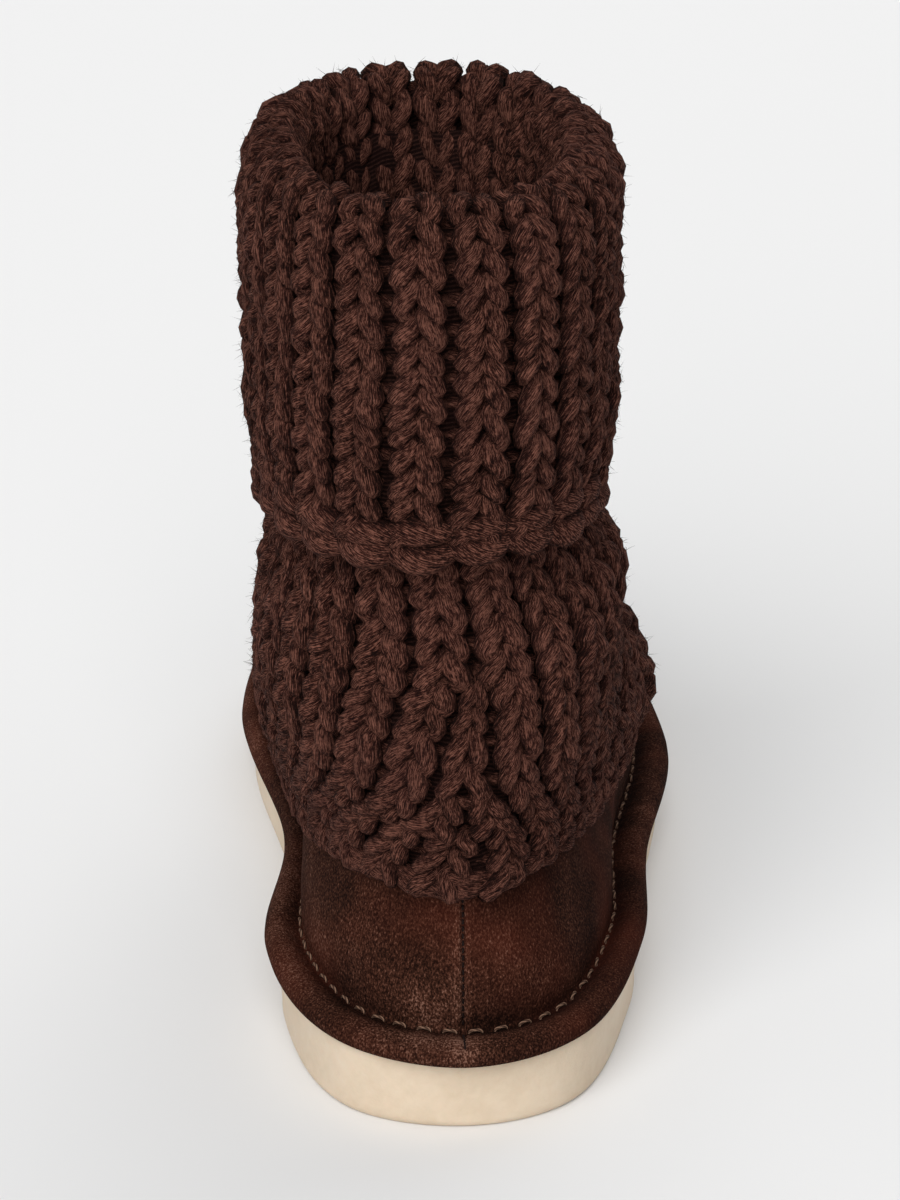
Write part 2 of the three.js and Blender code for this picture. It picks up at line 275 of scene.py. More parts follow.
def wall(turns, shares):
    """The suede's outer face, from the stitching at share 0 to its upper edge at share 1."""
    start_height = FLANGE_THICK - GROOVE_DEPTH + WALL_START_UP
    foot = over_sole(turns, station("rim", turns) + WALL_START_IN, start_height)
    top = top_loop(turns)
    to_foot = foot - top
    to_foot[..., 2] = 0
    lower = foot - edge_inward(turns) * station("puff", turns)[..., None]
    lower[..., 2] += station("rise", turns)
    upper = top + unit(to_foot) * station("reach", turns)[..., None]
    upper[..., 2] -= station("drop", turns)
    share = np.asarray(shares)[..., None]
    rest = 1 - share
    return foot * rest**3 + lower * 3 * share * rest**2 + upper * 3 * share**2 * rest + top * share**3


def knit_ring(back, front, half_width, lean):
    """One ring of the knit, from its back and front points (along, height) and its half width."""
    angles = np.arange(RING_POINTS) / RING_POINTS * math.tau
    power = 2 / RING_SQUARENESS
    forward = (1 - np.sign(np.cos(angles)) * np.abs(np.cos(angles)) ** power) / 2
    sideways = np.sign(np.sin(angles)) * np.abs(np.sin(angles)) ** power
    points = np.stack([
        lean + half_width * sideways,
        back[0] + (front[0] - back[0]) * forward,
        back[1] + (front[1] - back[1]) * forward,
    ], -1)
    return by_length(spline(points, True))


shaft_rings = [knit_ring(*row[1:]) for row in SHAFT_RINGS]
cuff_rings = [knit_ring(*row[1:]) for row in CUFF_RINGS]


def lap(share):
    """Where the knit laps over the suede: the suede's edge, its climb, its outside, the lap's foot."""
    divisions = np.linspace(0, 1, 1201)
    lengths = distances(top_loop(divisions))
    turns = np.interp(np.mod(share, 1.0), lengths / lengths[-1], divisions)
    edge = wall(turns, np.ones_like(turns))
    just_below = wall(turns, np.full_like(turns, 0.98))
    climb = unit(edge - just_below)
    out = unit(np.cross(tangent(top_loop, turns), climb))
    runs = wall(turns[..., None], np.linspace(0, 1, 30))
    length = np.linalg.norm(np.diff(runs, axis=-2), axis=-1).sum(-1)
    return edge, climb, out, wall(turns, 1 - LIP_LAP / length)


def shaft_controls(share):
    """Up the shaft's outer face: its lip over the suede, then its rings."""
    edge, climb, out, foot = lap(share)
    lip = foot + out * LIP_PROUD
    above = edge + out * (LIP_PROUD + LIP_FLARE) + climb * LIP_RISE
    return np.stack([lip, above] + [ring(share) for ring in shaft_rings], 0)


def grid_normals(grid):
    """Outward directions of a grid of points: the first index goes round and closes, the next up."""
    round_step = np.roll(grid, -1, 0) - np.roll(grid, 1, 0)
    up_step = np.gradient(grid, axis=1)
    return unit(np.cross(round_step, up_step))


# %% A face of the knit
FACE_COLUMNS = 192
FACE_ROWS = 120
FACE_SAMPLES = 400


class Face:
    """A face of the knit: points and outward directions by place round it and place up it, 0 to 1."""

    def __init__(self, controls):
        curves = controls(np.arange(FACE_COLUMNS) / FACE_COLUMNS)
        fine = spline(curves, False)(np.linspace(0, 1, FACE_SAMPLES))
        self.points = np.empty((FACE_COLUMNS, FACE_ROWS, 3))
        lengths = []
        for column_number in range(FACE_COLUMNS):
            run = fine[:, column_number]
            steps = distances(run)
            places = np.linspace(0, steps[-1], FACE_ROWS)
            evened = [np.interp(places, steps, run[:, axis]) for axis in range(3)]
            self.points[column_number] = np.stack(evened, -1)
            lengths.append(steps[-1])
        self.normals = grid_normals(self.points)
        self.length = float(np.mean(lengths))
        around = np.linalg.norm(self.points - np.roll(self.points, 1, 0), axis=-1)
        self.girth = float(around.sum(0).mean())

    def at(self, share, height, out=0.0):
        """Points at places on the face, raised out of it, and the outward directions there."""
        columns, rows = self.points.shape[:2]
        u = np.mod(share, 1.0) * columns
        v = np.clip(height, 0, 1) * (rows - 1)
        u0 = np.floor(u).astype(int)
        v0 = np.minimum(np.floor(v).astype(int), rows - 2)
        across_cell, up_cell = (u - u0)[..., None], (v - v0)[..., None]
        u0, u1 = u0 % columns, (u0 + 1) % columns

        def blend(values):
            low = values[u0, v0] * (1 - across_cell) + values[u1, v0] * across_cell
            high = values[u0, v0 + 1] * (1 - across_cell) + values[u1, v0 + 1] * across_cell
            return low * (1 - up_cell) + high * up_cell

        normal = unit(blend(self.normals))
        return blend(self.points) + normal * np.asarray(out)[..., None], normal


def cuff_controls(share):
    """Up the cuff from its hem, over the fold and down inside the shaft."""
    up_cuff = [ring(share) for ring in cuff_rings]
    inner_top, inner = shaft_rings[4](share), shaft_rings[3](share)
    middle = (up_cuff[-1] + inner_top) / 2
    towards = unit((middle - up_cuff[-1]) * LEVEL)
    crown = up_cuff[-1] + towards * CROWN_IN + UPRIGHT * CROWN_UP
    inner_top = inner_top + towards * KNIT_WALL
    inner = inner + towards * KNIT_WALL
    low = inner - UPRIGHT * INNER_RUN
    return np.stack(up_cuff + [crown, inner_top, inner, low], 0)


shaft_face = Face(lambda share: shaft_controls(share)[:-1])  # the cuff hides the last ring
cuff_face = Face(cuff_controls)
print("shaft face: girth", round(shaft_face.girth), "mm, height", round(shaft_face.length), "mm")
print("cuff face: girth", round(cuff_face.girth), "mm, height", round(cuff_face.length), "mm")

# %% [markdown]
# Most pieces here are swept: a round section follows a path. Blender's bevelled curves do that too,
# but they choose their own twist. A small sweep that takes the surface's outward direction keeps the
# section steady, and it gives each point a place along the strand and round it, which the yarn's
# twist and the thread's ply are drawn with.

# %% Sweeping sections along paths


def make_mesh(name, parts):
    """One object from parts: each has points in mm, faces, and a place on the pattern for each point."""
    vertices = np.concatenate([part[0] for part in parts])
    faces, uv, base = [], [], 0
    for points, part_faces, part_uv in parts:
        faces.extend([[base + k for k in face] for face in part_faces])
        uv.append(part_uv)
        base += len(points)
    data = bpy.data.meshes.new(name)
    data.from_pydata(to_frame(vertices).tolist(), [], faces)
    corners = np.empty(len(data.loops), np.int32)
    data.loops.foreach_get("vertex_index", corners)
    pattern = np.concatenate(uv).astype(np.float32)
    data.uv_layers.new(name="UVMap").data.foreach_set("uv", pattern[corners].ravel())
    data.polygons.foreach_set("use_smooth", [True] * len(data.polygons))
    data.update()
    made = bpy.data.objects.new(name, data)
    bpy.context.scene.collection.objects.link(made)
    print(name, "has", len(data.polygons), "faces")
    return made


def strands(paths, outward, radii, sides, closed, flatten=1.0):
    """Round sections along each row of paths (rows, steps, 3), in mm; outward keeps them steady."""
    paths = np.asarray(paths, float)
    rows, steps = paths.shape[:2]
    if closed:
        ahead = np.roll(paths, -1, 1) - np.roll(paths, 1, 1)
    else:
        ahead = np.gradient(paths, axis=1)
    ahead = unit(ahead)
    side = unit(np.cross(ahead, outward))
    up = np.cross(side, ahead)
    angles = (np.arange(sides) / sides * math.tau)[:, None]
    radii = np.broadcast_to(radii, paths.shape[:2])[..., None, None]
    section = side[:, :, None] * np.cos(angles) + up[:, :, None] * np.sin(angles) * flatten
    points = paths[:, :, None] + section * radii
    gaps = np.linalg.norm(np.diff(paths, axis=1), axis=-1)
    travelled = np.concatenate([np.zeros((rows, 1)), np.cumsum(gaps, axis=1)], axis=1)
    uv = np.stack(np.broadcast_arrays(travelled[..., None], np.arange(sides) / sides), -1)
    index = np.arange(rows * steps * sides).reshape(rows, steps, sides)
    here = index if closed else index[:, :-1]
    after = np.roll(index, -1, 1) if closed else index[:, 1:]
    quads = np.stack([here, after, np.roll(after, -1, 2), np.roll(here, -1, 2)], -1)
    faces = quads.reshape(-1, 4).tolist()
    if not closed:
        faces += index[:, 0].tolist() + index[:, -1, ::-1].tolist()
    return points.reshape(-1, 3), faces, uv.reshape(-1, 2)


NOISE_WAVES = 14
NOISE_EVENED = 4.0


def smooth_noise(seed, size):
    """A smooth random function of a place round and a place up, about -1 to 1, that closes round."""
    waves = np.random.default_rng(seed)
    turns = waves.integers(-size, size + 1, NOISE_WAVES)
    heights = waves.normal(0, size, NOISE_WAVES) / 4
    phases = waves.uniform(0, math.tau, NOISE_WAVES)

    def at(share, height=0.0):
        share, height = np.asarray(share)[..., None], np.asarray(height)[..., None]
        swings = np.cos(math.tau * (share * turns + height * heights) + phases)
        return swings.sum(-1) / NOISE_EVENED

    return at


# %% [markdown]
# The knit is a one-and-one rib in a thick plied wool. On the real boot each row is one yarn that dives
# behind the rib, comes forward as the two legs of a stitch, and crosses the valley to the next rib as
# a short bar. A bump map can't give the deep valleys or the ragged outline, so the yarn itself is
# modelled: the path of one stitch, repeated along each row, and every row wrapped round the boot.

# %% One stitch of the yarn
STITCH_STEPS = 18
YARN_SIDES = 8
ROW_PITCH = 6.1
YARN_RADIUS = 2.35
YARN_FLATTEN = 0.95
ALONG_WAVES = (-0.07, 0.228, -0.019)  # they carry the legs out from the rib's middle and back
LEG_CLIMB = 0.8
DEPTH_WAVES = (1.0, -1.5)  # mm, they bring the legs forward and push the bar back
DEPTH_MIDDLE = -1.5
BAR_THICKNESS = 0.64  # of the yarn's radius, where it is drawn tight
LEG_SWELL = 0.4


def stitch_path():
    """One stitch, from one valley to the next: shares along the row and up it, depth in mm, thickness.

    The two legs lean together at the top, their lower ends stand forward, and the bar between two
    ribs lies deepest.
    """
    t = (np.arange(STITCH_STEPS) / STITCH_STEPS) * math.tau - math.pi
    along_row = t / math.tau
    for number, amount in enumerate(ALONG_WAVES, 1):
        along_row = along_row + amount * np.sin(number * t)
    up = -LEG_CLIMB * np.cos(t)
    out = DEPTH_WAVES[0] * np.cos(t) + DEPTH_WAVES[1] * np.cos(2 * t) + DEPTH_MIDDLE
    thick = BAR_THICKNESS + LEG_SWELL * np.abs(np.sin(t)) ** 1.6
    side = np.sign(np.sin(t))
    return along_row, up, out, thick, side


# %% [markdown]
# The ribs run straight down, except at the heel. There the knitter turned the corner by adding ribs:
# below the ankle the valley left of the heel's middle slants away to the inner side, the one right of
# it stays upright, and one, then two, then three new ribs fill the wedge between them. The fan could
# be pulled out of an even knit with a lattice, but that would fatten its stitches, so each row is
# given its own number of ribs instead, and a table says where the wedge's two edges run.

# %% The fan of ribs at the heel
# height as a share of the face, the wedge's left and right edge in mm from the heel's middle, and
# how far the ribs are spread (+) or crowded (-) towards the heel
HEEL_FAN = [
    (0.0, -20, 9, -0.30),
    (0.133, -13.5, 10.2, -0.24),
    (0.187, -8.8, 10.2, -0.18),
    (0.276, -2.9, 9.4, -0.08),
    (0.34, -0.3, 8.8, -0.02),
    (0.43, 2.6, 6.6, 0.04),
    (0.48, 5, 5, 0.08),
    (0.57, 6.2, 6.2, 0.1),
    (0.76, 3, 3, 0.1),
    (1.0, 4.4, 4.4, 0.05),
]
NEW_RIBS = (0.44, 0.26, 0.13)  # the height below which each one is added
CUFF_PHASE = 1.7


def heel_ribs(height):
    """How many ribs the fan adds at a height."""
    return sum(height < start for start in NEW_RIBS)


def rib_edge(index, height, new_ribs, girth):
    """The share round the boot of the valley before a rib; ribs past the usual count fill the wedge."""
    heights, left, right, spread = np.array(HEEL_FAN, float).T
    left = np.interp(height, heights, left) / girth
    right = np.interp(height, heights, right) / girth
    if new_ribs == 0:
        left = right = (left + right) / 2
    usual = np.clip(index / RIB_COUNT, 0, 1)
    usual = usual + np.interp(height, heights, spread) * np.sin(math.tau * usual) / math.tau
    wedge = np.clip(index - RIB_COUNT, 0, None) / max(new_ribs, 1) * (right - left)
    return right + usual * (1 + left - right) + wedge


def cuff_edge(index, height, new_ribs, girth):
    """The share round the cuff of the valley before a rib: the cuff's ribs are even at any height."""
    return np.zeros_like(height) + index / RIB_COUNT + CUFF_PHASE / girth


# %% The rows of the knit
SHARE_SWAY = 0.003  # of the girth
ROW_SWAY = 0.3  # of a row
DEPTH_SWELL = 0.45  # mm
WIDTH_JITTER = 0.05
CLIMB_JITTER = 0.07
LEAN_JITTER = 0.05
LEG_JITTER = 0.3
SIZE_JITTER = 0.07
USUAL_RIB = 12.5  # mm
WIDE_RIB = 13.0


def stitch_size(pitch):
    """How fat the yarn is in a rib of a width in mm: crowded ribs draw it thinner."""
    return 0.6 + 0.4 * np.clip(pitch / USUAL_RIB, 0.2, 1.5)


def knit_rows(name, face, low, high, seed, edge_of, ribs_added):
    """Rows of stitches round a face of the knit, from height low to height high."""
    rows = round((high - low) * face.length / ROW_PITCH)
    random = np.random.default_rng(seed)
    along_row, up, out, thick, side = stitch_path()
    row_gap = (high - low) / rows
    sway, lift, swell = (smooth_noise(seed + k, size) for k, size in ((1, 4), (2, 5), (3, 6)))
    hump = np.cos(np.linspace(-math.pi, math.pi, STITCH_STEPS)) ** 2
    parts = []
    for row in range(rows):
        middle = low + (row + 0.5) * row_gap
        new_ribs = ribs_added(middle)
        rib = np.arange(RIB_COUNT + new_ribs)[:, None]
        wider, taller, deeper, fatter, askew = random.normal(0, 1, (5, len(rib), 1))
        climb = up * (1 + CLIMB_JITTER * taller) + LEAN_JITTER * side * askew
        height = middle + climb * row_gap
        before = edge_of(rib, height, new_ribs, face.girth)
        after = edge_of(rib + 1, height, new_ribs, face.girth)
        share = before + (after - before) * (0.5 + along_row * (1 + WIDTH_JITTER * wider))
        share = share + SHARE_SWAY * sway(share, height * 2)
        height = height + ROW_SWAY * row_gap * lift(share, height * 2)
        pitch = (after - before) * face.girth
        raised = np.clip(pitch - WIDE_RIB, 0, 6) * 0.25 * hump
        uneven = DEPTH_SWELL * swell(share, height * 4) + LEG_JITTER * side * deeper
        points, normals = face.at(share, height, out + raised + uneven)
        size = YARN_RADIUS * thick * (1 + SIZE_JITTER * fatter) * stitch_size(pitch)
        path, outward = points.reshape(1, -1, 3), normals.reshape(1, -1, 3)
        parts.append(strands(path, outward, size.reshape(1, -1), YARN_SIDES, True, YARN_FLATTEN))
    print(name, rows, "rows, row gap", round(row_gap * face.length, 2), "mm")
    return make_mesh(name, parts)


shaft_knit = knit_rows(
    "knit_shaft_yarn", shaft_face, low=0.005, high=0.99, seed=11, edge_of=rib_edge, ribs_added=heel_ribs
)
cuff_knit = knit_rows(
    "knit_cuff_yarn", cuff_face, low=0.03, high=0.99, seed=23, edge_of=cuff_edge, ribs_added=lambda height: 0
)

# %% [markdown]
# Behind the yarn a thin dark shell closes the gaps, as the crowded back of the knit does; its darkness is
# painted shade, a darker copy of the wool. Every loop of the back could be modelled too, but none of them
# shows between the ribs, so a smooth wall is enough. It follows the same faces a little further in.

# %% The back of the knit


def lofted(name, grid, close_up=True, u=None, zero_row=0):
    """A mesh over a grid of points in mm that closes round, and up too where close_up is set."""
    columns, rows = grid.shape[:2]
    index = np.arange(columns * rows).reshape(columns, rows)
    here = index if close_up else index[:, :-1]
    above = np.roll(index, -1, 1) if close_up else index[:, 1:]
    quads = np.stack([here, np.roll(here, -1, 0), np.roll(above, -1, 0), above], -1).reshape(-1, 4)
    around = np.linalg.norm(np.diff(grid, axis=0, append=grid[:1]), axis=-1)
    upward = np.linalg.norm(np.diff(grid, axis=1), axis=-1)
    if u is None:
        u = np.concatenate([np.zeros((1, rows)), np.cumsum(around, 0)[:-1]]).mean(1, keepdims=True)
    v = np.concatenate([np.zeros((columns, 1)), np.cumsum(upward, 1)], 1)
    v = v - v[:, zero_row:zero_row + 1]
    uv = np.stack(np.broadcast_arrays(u, v), -1).reshape(-1, 2)
    return make_mesh(name, [(grid.reshape(-1, 3), quads.tolist(), uv)])


BACK_COLUMNS = 144
BACK_ROWS = 60
BACK_RIB_DEPTH = 0.5
BACK_FOOT = 0.25  # the share of the height over which the back is raised towards its foot


def shell_of(name, face, low, high, outside, inside, raised=0.0):
    """A closed wall that follows a face from height low to high, between two depths in mm."""
    shares = np.arange(BACK_COLUMNS)[:, None] / BACK_COLUMNS
    share, height = np.broadcast_arrays(shares, np.linspace(low, high, BACK_ROWS)[None])
    ribs = BACK_RIB_DEPTH * np.cos(share * RIB_COUNT * math.tau)
    foot = raised * np.clip(1 - height / BACK_FOOT, 0, 1)
    outer, _ = face.at(share, height, outside + ribs + foot)
    inner, _ = face.at(share, height, inside - ribs)
    return lofted(name, np.concatenate([outer, inner[:, ::-1]], 1))


whole_shaft = Face(shaft_controls)
shaft_back = shell_of(
    "knit_shaft_back", whole_shaft, low=0.02, high=0.97, outside=-3.2, inside=-5.4, raised=1.4
)
cuff_back = shell_of("knit_cuff_back", cuff_face, low=0.02, high=0.93, outside=-3.4, inside=-4.6)

# %% [markdown]
# The cuff's hem is bound off with a chain that lies along it, in strands half as fat again as the
# yarn, and the knit's lower edge is drawn tight with a finer one. A chain is a row of pairs: two
# strands start together, part, and pass under the next pair.

# %% Bound edges
CHAIN_STEPS = 11
CHAIN_SIDES = 10
CHAIN_FLATTEN = 0.85
CHAIN_ARCH = 1.6  # mm that a strand's middle stands forward
END_DIVE = 2.8  # mm that its end goes under the next pair
START_DIVE = 1.4
TIP_THICKNESS = 0.28  # of its radius


def chain(name, face, height, pitch, length, radius, spread, out, seed):
    """Pairs of short strands laid as a chain round a face at one height; sizes in mm."""
    random = np.random.default_rng(seed)
    count = round(face.girth / pitch)
    place = np.linspace(0, 1, CHAIN_STEPS)
    start = np.arange(count)[:, None] / count + random.normal(0, 0.0012, (count, 1))
    share = start + place * length / face.girth
    arch = np.sin(math.pi * place) ** 0.8
    dive = END_DIVE * place**4 + START_DIVE * (1 - place) ** 3
    belly = np.sin(math.pi * np.clip(place, 0.03, 0.97)) ** 0.7
    wander = smooth_noise(seed + 3, 5)
    paths, directions, sizes = [], [], []
    for side in (-1, 1):
        part = spread * side * (0.2 + 0.8 * arch) + random.normal(0, 0.35, (count, 1))
        points, normals = face.at(share, np.full_like(share, height), out + CHAIN_ARCH * arch - dive)
        paths.append(points + UPRIGHT * (part + 0.8 * wander(share))[..., None])
        directions.append(normals)
        thickness = TIP_THICKNESS + (1 - TIP_THICKNESS) * belly
        sizes.append(radius * thickness * (1 + random.normal(0, 0.08, (count, 1))))
    path, outward, size = (np.concatenate(rows) for rows in (paths, directions, sizes))
    return make_mesh(name, [strands(path, outward, size, CHAIN_SIDES, False, CHAIN_FLATTEN)])


hem_chain = chain(
    "cuff_hem_chain", cuff_face, height=0.038, pitch=11.5, length=16.5,
    radius=3.6, spread=2.8, out=-1.0, seed=5,
)
lip_chain = chain(
    "knit_lower_edge", shaft_face, height=0.02, pitch=6.2, length=10.5,
    radius=2.1, spread=1.6, out=-1.6, seed=6,
)

# %% [markdown]
# Wool is never smooth: short fibres stand up all over the yarn, and a few long ones stray and soften
# the knit's outline. Hair particles could draw them, but hairs aren't part of the finished mesh, so
# they are made as solid spikes: the nap as four-faced ones that lean along the strand, and the loose
# fibres as thin curled strands. Both start on the vertices of the yarn.

# %% The vertices of a piece


def skin(thing):
    """A mesh's points in metres and its outward directions, a row for each vertex."""
    total = len(thing.data.vertices)
    points, normals = np.empty(total * 3), np.empty(total * 3)
    thing.data.vertices.foreach_get("co", points)
    thing.data.vertices.foreach_get("normal", normals)
    return points.reshape(-1, 3), normals.reshape(-1, 3)


# %% Loose fibres
FIBRE_POINTS = 3
FIBRE_SIDES = 3
FIBRE_RADIUS = 0.05
FIBRE_COUNT = 3500
FIBRE_SHORTEST = 0.8
FIBRE_LONGER = 2.4  # at most, over the shortest


def loose_fibres(name, knit, seed):
    """Fine curled fibres on a knitted piece, from its outermost vertices outwards."""
    random = np.random.default_rng(seed)
    points, normals = skin(knit)
    chosen = random.choice(len(points), FIBRE_COUNT * 3, replace=False)
    roots, out = points[chosen] / MM, normals[chosen]
    outward = np.einsum("ij,ij->i", out, unit(roots * LEVEL))
    outermost = np.argsort(-outward)[:FIBRE_COUNT]
    roots, out = roots[outermost], out[outermost]
    lean = unit(out * 0.75 + random.normal(0, 1, (FIBRE_COUNT, 3)) * 0.55)
    curl = unit(np.cross(lean, random.normal(0, 1, (FIBRE_COUNT, 3))))
    length = FIBRE_SHORTEST + FIBRE_LONGER * random.uniform(0, 1, (FIBRE_COUNT, 1, 1)) ** 2
    place = np.linspace(0, 1, FIBRE_POINTS)[None, :, None]
    bend = curl[:, None] * random.uniform(0.1, 0.5, (FIBRE_COUNT, 1, 1)) * place**2
    paths = (roots - out * 0.3)[:, None] + (lean[:, None] * place + bend) * length
    paths = paths * FLIP + MIDDLE
    steady = np.broadcast_to((curl * FLIP)[:, None], paths.shape)
    taper = FIBRE_RADIUS * (1.15 - 0.75 * place[..., 0])
    return make_mesh(name, [strands(paths, steady, taper, FIBRE_SIDES, False)])


shaft_fuzz = loose_fibres("knit_shaft_fuzz", shaft_knit, seed=71)
cuff_fuzz = loose_fibres("knit_cuff_fuzz", cuff_knit, seed=72)

# %% The nap
NAP_WIDTH = 0.055
NAP_SHORTEST = 0.8
NAP_LONGER = 2.2  # at most, over the shortest
NAP_MIDDLE = np.array([0.0, 62.0, 0.0])  # the ankle's middle, in the boot's own sizes
NAP_FACES = ((0, 2, 1), (0, 1, 3), (1, 2, 3), (2, 0, 3))
NAP_PATTERN = np.array([[0.0, 0.2], [0.0, 0.5], [0.0, 0.8], [2.0, 0.5]])


def nap(name, knit, count, seed):
    """Short spikes on the outward half of the yarn, leaning along each strand: four faces each."""
    random = np.random.default_rng(seed)
    points, normals = skin(knit)
    points, normals = to_own(points), normals * FLIP
    along = unit(np.roll(points, -YARN_SIDES, 0) - points)
    away = unit(points - NAP_MIDDLE) * (1, 1, 0.3)
    shown = np.flatnonzero(np.einsum("ij,ij->i", normals, away) > -0.2)
    chosen = random.choice(shown, count)
    out, ahead, roots = normals[chosen], along[chosen], points[chosen]
    stray = random.normal(0, 1, (count, 3))
    roots = roots + ahead * random.uniform(-0.8, 0.8, (count, 1))
    roots = roots + np.cross(out, ahead) * random.normal(0, 0.45, (count, 1))
    lean = unit(out * 0.55 + ahead * random.normal(0, 0.8, (count, 1)) + stray * 0.3)
    side = unit(np.cross(lean, out + stray * 0.1))
    other = np.cross(lean, side)
    length = NAP_SHORTEST + NAP_LONGER * random.uniform(0, 1, (count, 1)) ** 2
    base = roots - lean * 0.5
    near_side = base - side * NAP_WIDTH * 0.5
    corners = [base + side * NAP_WIDTH, near_side + other * NAP_WIDTH, near_side - other * NAP_WIDTH]
    spikes = np.stack(corners + [roots + lean * length], 1)
    first = np.arange(count)[:, None] * 4
    faces = np.concatenate([first + np.array(face) for face in NAP_FACES])
    return make_mesh(name, [(spikes.reshape(-1, 3), faces.tolist(), np.tile(NAP_PATTERN, (count, 1)))])


shaft_nap = nap("knit_shaft_nap", shaft_knit, count=34000, seed=73)
cuff_nap = nap("knit_cuff_nap", cuff_knit, count=39000, seed=74)

# %% [markdown]
# The suede lower is lofted again from the same tables with far more columns, so that it can hold
# what a maker's hands leave: the pucker under each stitch of the edge, the raised seam down the
# heel, and the soft dents of the counter. Sculpting would do the same by hand, but it can't be
# repeated in code, so each detail is a small hill or hollow that is added to the loft. Its form stays
# that of its solid.

# %% Distances round the edge
STITCH_PITCH = 5.6
fine_turns = np.linspace(0, 1, 2401)
groove_points = inset_edge(fine_turns, station("rim", fine_turns))
groove_run = distances(groove_points)
EDGE_STITCHES = round(groove_run[-1] / STITCH_PITCH)
print("stitching", round(groove_run[-1]), "mm long, with", EDGE_STITCHES, "stitches")


def turns_at(shares):
    """Places round the boot at even shares of the stitching's length."""
    whole = np.floor(shares)
    return np.interp(shares - whole, groove_run / groove_run[-1], fine_turns) + whole


def from_seam(turns):
    """Distance from the heel's seam along the stitching, in mm, negative on the inner side."""
    run = np.interp(np.mod(turns, 1.0), fine_turns, groove_run)
    return np.where(run > groove_run[-1] / 2, run - groove_run[-1], run)


# %% The turned-out edge
SEAM_COLUMNS = (0.25, 0.5, 0.8, 1.2, 1.7, 2.3)  # mm from the heel's seam
SEAM_CUT = 0.45


def flange_points(turns, rim, pull, seam_run):
    """The turned-out edge, from its underside round its rolled rim to the stitching's groove."""
    sag = 0.35 * smooth_noise(31, 9)(turns)
    groove = FLANGE_THICK - GROOVE_DEPTH
    # inset, height over the sole, then the cut of the heel's seam: its depth, inward and downward
    profile = [
        (rim * 0.5, GAP, 0, 0, 0),
        (0.9, GAP, 0, 0, 0),
        (0.25, GAP + 0.55, 0.5, 1, 0),
        (-0.1, 2.2, 0.9, 1, 0),
        (0.05, 3.3 + 0.5 * sag, 1, 0.7, 0),
        (0.7, 4.5 + 0.6 * sag, 0.8, 0.2, 0.8),
        (rim * 0.2, 5.3 + sag, 0.8, 0.2, 0.8),
        (rim * 0.34, FLANGE_THICK + 0.05 + sag, 0.8, 0.2, 0.8),
        (rim * 0.48, FLANGE_THICK + 0.05 + sag - 0.1 * pull, 0.8, 0.2, 0.8),
        (rim * 0.62, FLANGE_THICK - 0.3 + sag - 0.25 * pull, 0.8, 0.2, 0.8),
        (rim * 0.76, FLANGE_THICK - 0.95 - 0.4 * pull, 0.8, 0.2, 0.8),
        (rim * 0.9, groove - 0.15 - 0.25 * pull, 0.8, 0.2, 0.8),
        (rim, groove - 0.45 - 0.2 * pull, 0.8, 0.2, 0.8),
    ]
    near_seam = np.exp(-((seam_run / SEAM_CUT) ** 2))[..., None]
    rows = []
    for inset, lift, depth, inward, downward in profile:
        cut = edge_inward(turns) * inward - UPRIGHT * downward
        rows.append(over_sole(turns, inset, lift) + depth * near_seam * cut)
    return np.concatenate(rows, 1)


# %% The suede's wall
WALL_ROWS = 30
PUCKER = 0.28
PUCKER_FADE = 14.0
DENTS = 0.45
SEAM_RIDGE_AT = 1.3
SEAM_RIDGE_WIDTH = 0.8
SEAM_VALLEY = 0.8
SEAM_VALLEY_WIDTH = 0.38


def wall_faces(turns, pull, seam_run):
    """The wall's outer face with its seam, pucker and dents, and its inner face."""
    up_wall = np.linspace(0, 1, WALL_ROWS)[None]
    turns, height, run, pull = np.broadcast_arrays(turns, up_wall, seam_run, pull)
    face = wall(turns, height)
    normals = grid_normals(face)
    inside = face - normals * UPPER_WALL
    pucker = PUCKER * pull * np.exp(-height * PUCKER_FADE)
    dents = DENTS * smooth_noise(41, 4)(turns, height * 1.5) * np.sin(height * math.pi)
    ridges = np.exp(-(((np.abs(run) - SEAM_RIDGE_AT) / SEAM_RIDGE_WIDTH) ** 2))
    ridges = ridges * np.where(run < 0, 0.6, 0.4)
    valley = SEAM_VALLEY * np.exp(-((run / SEAM_VALLEY_WIDTH) ** 2))
    outside = face + normals * (dents - pucker + ridges - valley)[..., None]
    return outside, inside


# %% The suede lower
shares = np.arange(EDGE_STITCHES * 4) / (EDGE_STITCHES * 4)
seam_shares = np.array(SEAM_COLUMNS) / groove_run[-1]
shares = np.unique(np.concatenate([shares, seam_shares, 1 - seam_shares]))[:, None]
suede_turns = turns_at(shares)
suede_rim = station("rim", suede_turns)
suede_run = from_seam(suede_turns)
stitch_pull = 0.5 + 0.5 * np.cos(shares * EDGE_STITCHES * math.tau)
flange = flange_points(suede_turns, suede_rim, stitch_pull, suede_run)
outside, inside = wall_faces(suede_turns, stitch_pull, suede_run)
foot = over_sole(suede_turns, suede_rim + UPPER_WALL + WALL_START_IN, GAP)
suede_points = np.concatenate([flange, outside, inside[:, 1:][:, ::-1], foot], 1)
suede = lofted("suede_lower", suede_points, u=suede_run, zero_row=flange.shape[1] - 1)

# %% [markdown]
# Inside, the suede is lined with a short curled pile, and the insole has the same. A lining a little
# over half a millimetre thick lies on the suede's inner face, and its surface is pushed about by a
# fine noise, as the curls are. The insole starts as a copy of its solid, which is welded, remeshed
# evenly and displaced in the same way.

# %% The pile lining
PILE_COLUMNS = 260
PILE_ROWS = 60
PILE_DEPTH = 0.5
PILE_START = 0.35
PILE_SUNK = 0.8


